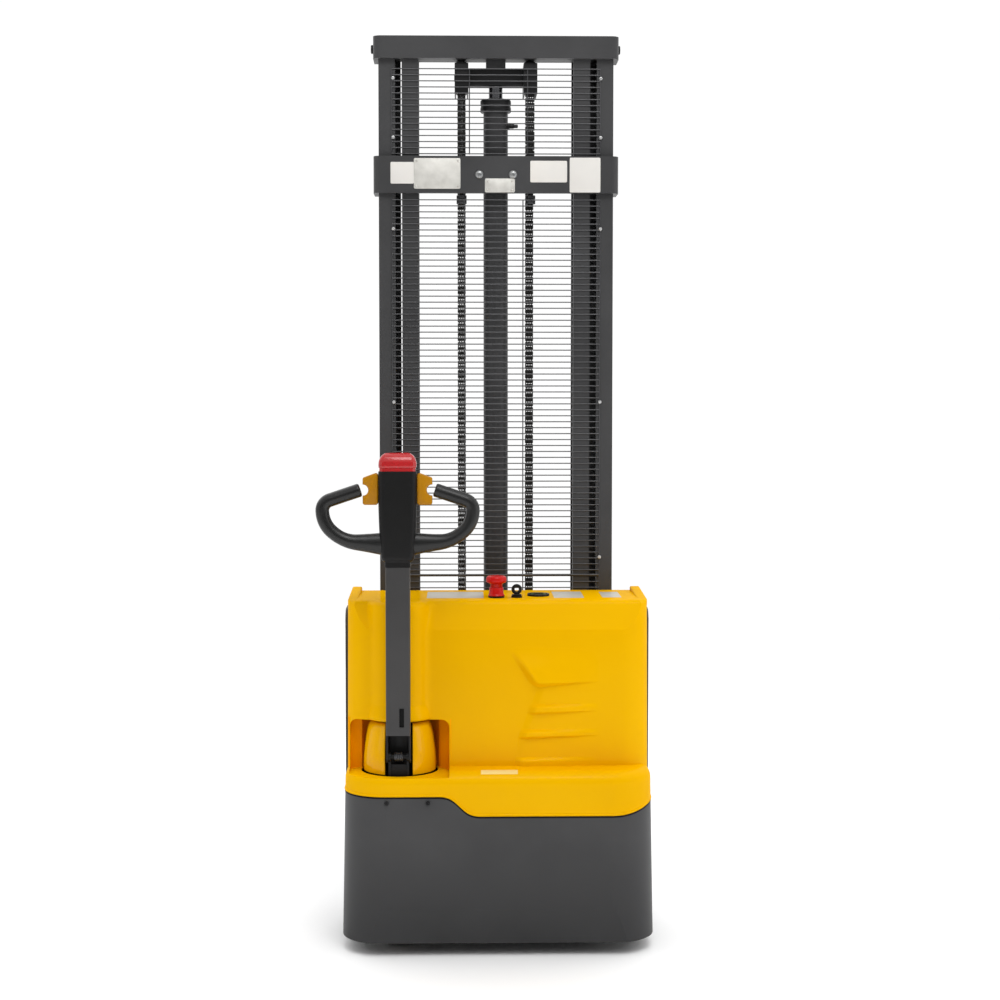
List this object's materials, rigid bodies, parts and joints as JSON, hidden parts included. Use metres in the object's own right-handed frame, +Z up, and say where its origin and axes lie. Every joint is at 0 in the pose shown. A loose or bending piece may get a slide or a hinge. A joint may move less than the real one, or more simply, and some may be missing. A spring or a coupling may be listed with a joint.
{
  "type": "electric stacker",
  "caption": "Walk-behind electric lift truck: a tall two-stage mast with chain-hung forks behind a yellow moulded body, a dark skirt and an upright steering tiller.",
  "frame": {"origin": "on the floor under the middle of the whole machine, with the forks down and the tiller upright", "axes": "+Z up along the mast, +Y along the forks away from the operator, +X to the right as the operator sees it"},
  "size_m": [0.8586, 1.7568, 2.37],
  "materials": {
    "body_paint": "satin dark grey",
    "mast_paint": "satin dark grey",
    "cover_yellow": "moulded yellow",
    "dark_plastic": "moulded black",
    "throttle_amber": "moulded amber",
    "red_plastic": "moulded red",
    "steel": "machined",
    "chain_steel": "oiled",
    "chrome": "polished",
    "cast": "cast",
    "tyre": "polyurethane",
    "nylon": "machined",
    "hose_rubber": "matte",
    "wire": "black wire",
    "aluminium": "cast"
  },
  "bodies": {
    "machine": {"chassis_frame": "body_paint", "lower_skirt": "body_paint", "main_cover": "cover_yellow", "outer_rail_left": "mast_paint", "outer_rail_right": "mast_paint", "mast_top_beam": "mast_paint", "mast_tie_beam": "mast_paint", "cylinder_clamp": "mast_paint", "mast_base": "mast_paint", "guide_pads": "nylon", "mast_bolts": "steel", "guard_mesh_upper": "wire", "guard_mesh_lower": "wire", "lift_cylinder": "mast_paint", "chain_anchors": "chain_steel", "chain_rear_runs": "chain_steel", "batteries": "dark_plastic", "pump_unit": "steel", "lift_hose": "hose_rubber", "motor_controller": "aluminium", "steer_bearing": "steel", "panel_fittings": "dark_plastic", "support_leg_left": "mast_paint", "support_leg_right": "mast_paint"},
    "inner_mast": {"inner_rail_left": "mast_paint", "inner_rail_right": "mast_paint", "inner_crossmembers": "mast_paint", "piston_rod": "chrome", "chain_crosshead": "mast_paint", "chain_wraps": "chain_steel", "chain_front_runs": "chain_steel"},
    "chain_wheel_pair": {"chain_wheels": "steel"},
    "mast_roller_pair": {"mast_rollers": "steel"},
    "carriage": {"fork_carriage": "mast_paint", "fork_left": "mast_paint", "fork_right": "mast_paint", "carriage_anchors": "chain_steel"},
    "lower_roller_pair": {"carriage_rollers_lower": "steel"},
    "upper_roller_pair": {"carriage_rollers_upper": "steel"},
    "drive_unit": {"drive_gearbox": "cast", "drive_motor": "steel", "turret_cover": "cover_yellow", "tiller_bracket": "body_paint"},
    "drive_wheel": {"drive_hub": "cast", "drive_tyre": "tyre"},
    "tiller": {"tiller_arm": "body_paint", "tiller_head": "dark_plastic", "grip_left": "dark_plastic", "grip_right": "dark_plastic"},
    "throttle": {"throttle_butterfly": "throttle_amber"},
    "belly_switch": {"belly_button": "red_plastic"},
    "lift_switch": {"lift_button": "dark_plastic"},
    "lower_switch": {"lower_button": "dark_plastic"},
    "horn_switch": {"horn_button": "red_plastic"},
    "emergency_stop": {"estop_button": "red_plastic"},
    "key": {"key_knob": "dark_plastic"},
    "caster": {"caster_fork": "steel"},
    "caster_roller": {"caster_wheel": "tyre"},
    "left_load_roller": {"load_roller_left": "tyre"},
    "right_load_roller": {"load_roller_right": "tyre"}
  },
  "joints": [
    {"name": "mast_lift", "type": "slide", "parent": "machine", "child": "inner_mast", "axis": [0, 0, 1], "range_m": [0, 1.75], "deforming": ["chain_rear_runs"]},
    {"name": "fork_lift", "type": "slide", "parent": "inner_mast", "child": "carriage", "axis": [0, 0, 1], "range_m": [0, 1.75], "deforming": ["chain_front_runs"]},
    {"name": "chain_wheel_spin", "type": "hinge", "parent": "inner_mast", "child": "chain_wheel_pair", "pos_m": [0.02926, -0.43661, 2.2695], "axis": [1, 0, 0], "continuous": true},
    {"name": "mast_roller_spin", "type": "hinge", "parent": "inner_mast", "child": "mast_roller_pair", "pos_m": [0.02926, -0.43661, 0.14], "axis": [1, 0, 0], "continuous": true},
    {"name": "lower_roller_spin", "type": "hinge", "parent": "carriage", "child": "lower_roller_pair", "pos_m": [0.02926, -0.43661, 0.165], "axis": [1, 0, 0], "continuous": true},
    {"name": "upper_roller_spin", "type": "hinge", "parent": "carriage", "child": "upper_roller_pair", "pos_m": [0.02926, -0.43661, 0.425], "axis": [1, 0, 0], "continuous": true},
    {"name": "steer", "type": "hinge", "parent": "machine", "child": "drive_unit", "pos_m": [-0.22374, -0.73661, 0], "axis": [0, 0, 1], "range_deg": [-45, 45]},
    {"name": "drive_wheel_spin", "type": "hinge", "parent": "drive_unit", "child": "drive_wheel", "pos_m": [-0.22374, -0.73661, 0.105], "axis": [1, 0, 0], "continuous": true},
    {"name": "tiller_tilt", "type": "hinge", "parent": "drive_unit", "child": "tiller", "pos_m": [-0.22374, -0.82961, 0.505], "axis": [1, 0, 0], "range_deg": [0, 75], "stiffness_Nm_per_rad": 20, "springref_deg": -34.38},
    {"name": "throttle_twist", "type": "hinge", "parent": "tiller", "child": "throttle", "pos_m": [-0.22374, -0.85161, 1.186], "axis": [1, 0, 0], "range_deg": [-30, 30], "stiffness_Nm_per_rad": 0.8},
    {"name": "belly_press", "type": "slide", "parent": "tiller", "child": "belly_switch", "axis": [0, 0, -1], "range_m": [0, 0.008], "stiffness_N_per_m": 1500, "springref_m": -0.005},
    {"name": "lift_press", "type": "slide", "parent": "tiller", "child": "lift_switch", "axis": [0, -1, 0], "range_m": [0, 0.003], "stiffness_N_per_m": 1000, "springref_m": -0.001},
    {"name": "lower_press", "type": "slide", "parent": "tiller", "child": "lower_switch", "axis": [0, -1, 0], "range_m": [0, 0.003], "stiffness_N_per_m": 1000, "springref_m": -0.001},
    {"name": "horn_press", "type": "slide", "parent": "tiller", "child": "horn_switch", "axis": [0, -1, 0], "range_m": [0, 0.003], "stiffness_N_per_m": 1000, "springref_m": -0.001},
    {"name": "stop_press", "type": "slide", "parent": "machine", "child": "emergency_stop", "axis": [0, 0, -1], "range_m": [0, 0.008]},
    {"name": "key_turn", "type": "hinge", "parent": "machine", "child": "key", "pos_m": [0.07926, -0.68161, 0.893], "axis": [0, 0, 1], "range_deg": [0, 90]},
    {"name": "caster_swivel", "type": "hinge", "parent": "machine", "child": "caster", "pos_m": [0.29126, -0.72161, 0.222], "axis": [0, 0, 1], "continuous": true},
    {"name": "caster_spin", "type": "hinge", "parent": "caster", "child": "caster_roller", "pos_m": [0.29126, -0.68361, 0.0625], "axis": [1, 0, 0], "continuous": true},
    {"name": "left_load_spin", "type": "hinge", "parent": "machine", "child": "left_load_roller", "pos_m": [-0.16074, 0.76839, 0.04], "axis": [1, 0, 0], "continuous": true},
    {"name": "right_load_spin", "type": "hinge", "parent": "machine", "child": "right_load_roller", "pos_m": [0.21926, 0.76839, 0.04], "axis": [1, 0, 0], "continuous": true}
  ],
  "couplings": [
    {"joint": "fork_lift", "follows": "mast_lift", "ratio": 1},
    {"joint": "chain_wheel_spin", "follows": "mast_lift", "rad_per_m": 24.691},
    {"joint": "mast_roller_spin", "follows": "mast_lift", "rad_per_m": 24.39},
    {"joint": "lower_roller_spin", "follows": "mast_lift", "rad_per_m": 24.39},
    {"joint": "upper_roller_spin", "follows": "mast_lift", "rad_per_m": -24.39}
  ]
}
